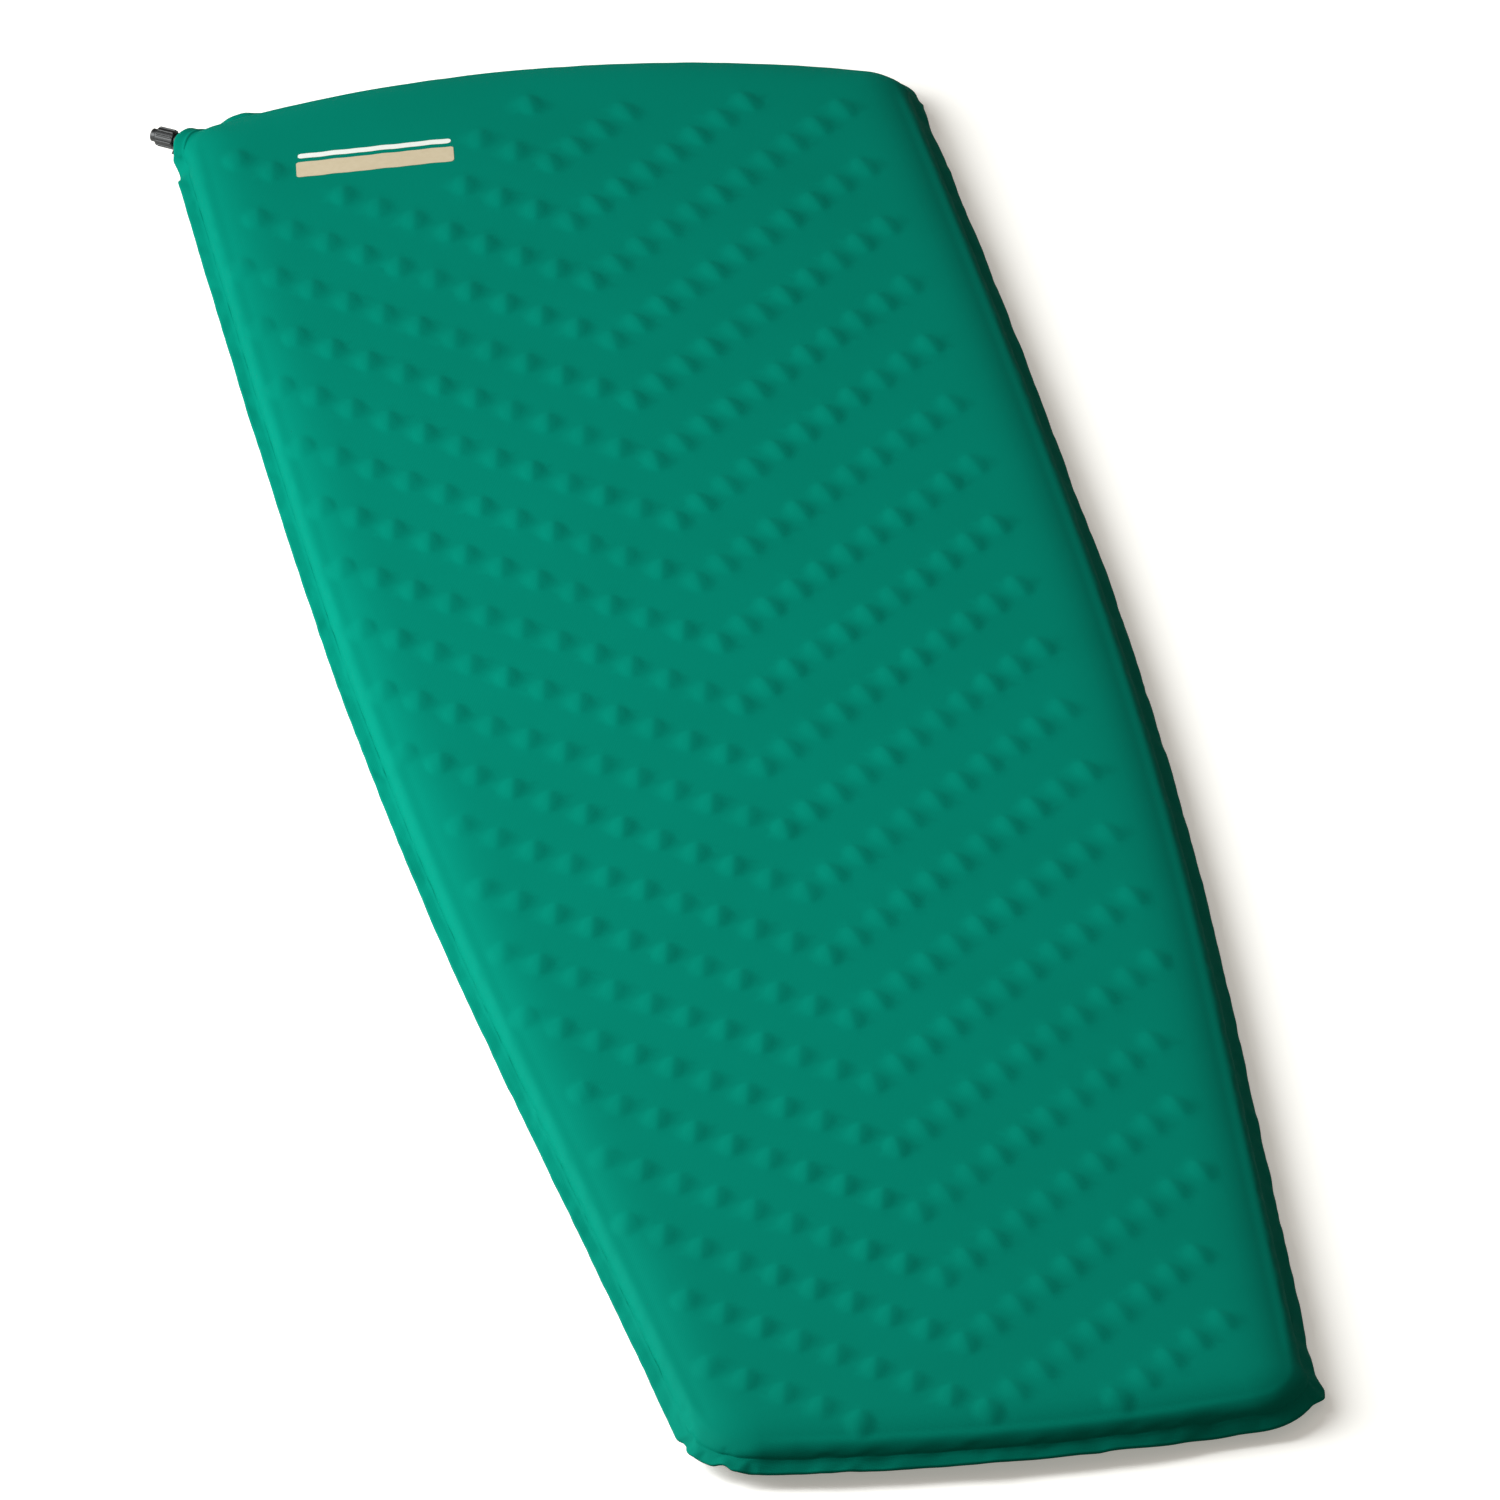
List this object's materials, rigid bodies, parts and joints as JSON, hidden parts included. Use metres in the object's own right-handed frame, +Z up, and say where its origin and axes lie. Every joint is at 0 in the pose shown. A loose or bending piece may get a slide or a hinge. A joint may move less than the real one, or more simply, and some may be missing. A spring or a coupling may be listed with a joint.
{
  "type": "sleeping pad",
  "caption": "Tapered self-inflating sleeping pad with a die-cut foam core, welded fabric casing and a corner twist valve.",
  "frame": {"origin": "middle of the pad's underside, where it rests on the ground", "axes": "+Y along the pad towards the head end, +X across it, +Z up from the ground"},
  "size_m": [0.5243, 1.8298, 0.0282],
  "materials": {
    "casing_fabric": "satin",
    "base_fabric": "satin",
    "core_foam": "matte",
    "band_print": "matte",
    "stripe_print": "matte",
    "valve_plastic": "satin",
    "cap_plastic": "satin",
    "seal_rubber": "matte"
  },
  "bodies": {
    "pad": {"top_fabric": "casing_fabric", "bottom_fabric": "base_fabric", "foam_core": "core_foam", "label_band": "band_print", "label_stripe": "stripe_print", "valve_body": "valve_plastic", "stem_oring": "seal_rubber", "plug_oring": "seal_rubber"},
    "cap_slide": {"cap_seal": "seal_rubber"},
    "cap": {"valve_cap": "cap_plastic"}
  },
  "joints": [
    {"name": "cap_lift", "type": "slide", "parent": "pad", "child": "cap_slide", "axis": [-0.809, 0.5878, 0], "range_m": [0, 0.0045]},
    {"name": "cap_twist", "type": "hinge", "parent": "cap_slide", "child": "cap", "pos_m": [-0.24938, 0.8615, 0.014], "axis": [-0.809, 0.5878, 0], "range_deg": [0, 270]}
  ],
  "couplings": [
    {"joint": "cap_twist", "follows": "cap_lift", "rad_per_m": 1047}
  ]
}
